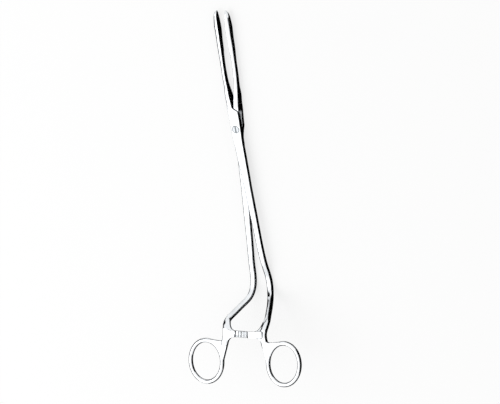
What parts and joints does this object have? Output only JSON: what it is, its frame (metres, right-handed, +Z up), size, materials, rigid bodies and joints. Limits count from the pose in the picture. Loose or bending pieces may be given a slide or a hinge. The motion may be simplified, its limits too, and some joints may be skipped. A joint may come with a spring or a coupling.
{
  "type": "uterine dressing forceps",
  "caption": "Long slim forceps with serrated jaws, a screwed lap joint, double-curved shanks, a ratchet and finger rings.",
  "frame": {"origin": "on the lock screw's axis, in the flat underside of the lock that the forceps lies on", "axes": "+Y to the jaw tips, +Z up along the screw's axis to the screw's head, +X to the front arm's ring"},
  "size_m": [0.0912, 0.2643, 0.0445],
  "materials": {
    "arm_steel": "forged stainless steel, ground and polished",
    "screw_steel": "turned stainless steel, satin face"
  },
  "bodies": {
    "back_arm": {"back_arm": "arm_steel", "lock_screw": "screw_steel"},
    "front_arm": {"front_arm": "arm_steel"}
  },
  "joints": [
    {"name": "lock_pivot", "type": "hinge", "parent": "back_arm", "child": "front_arm", "pos_m": [0, 0, 0.0035], "axis": [0, 0, 1], "range_deg": [-4.2, 30]}
  ]
}
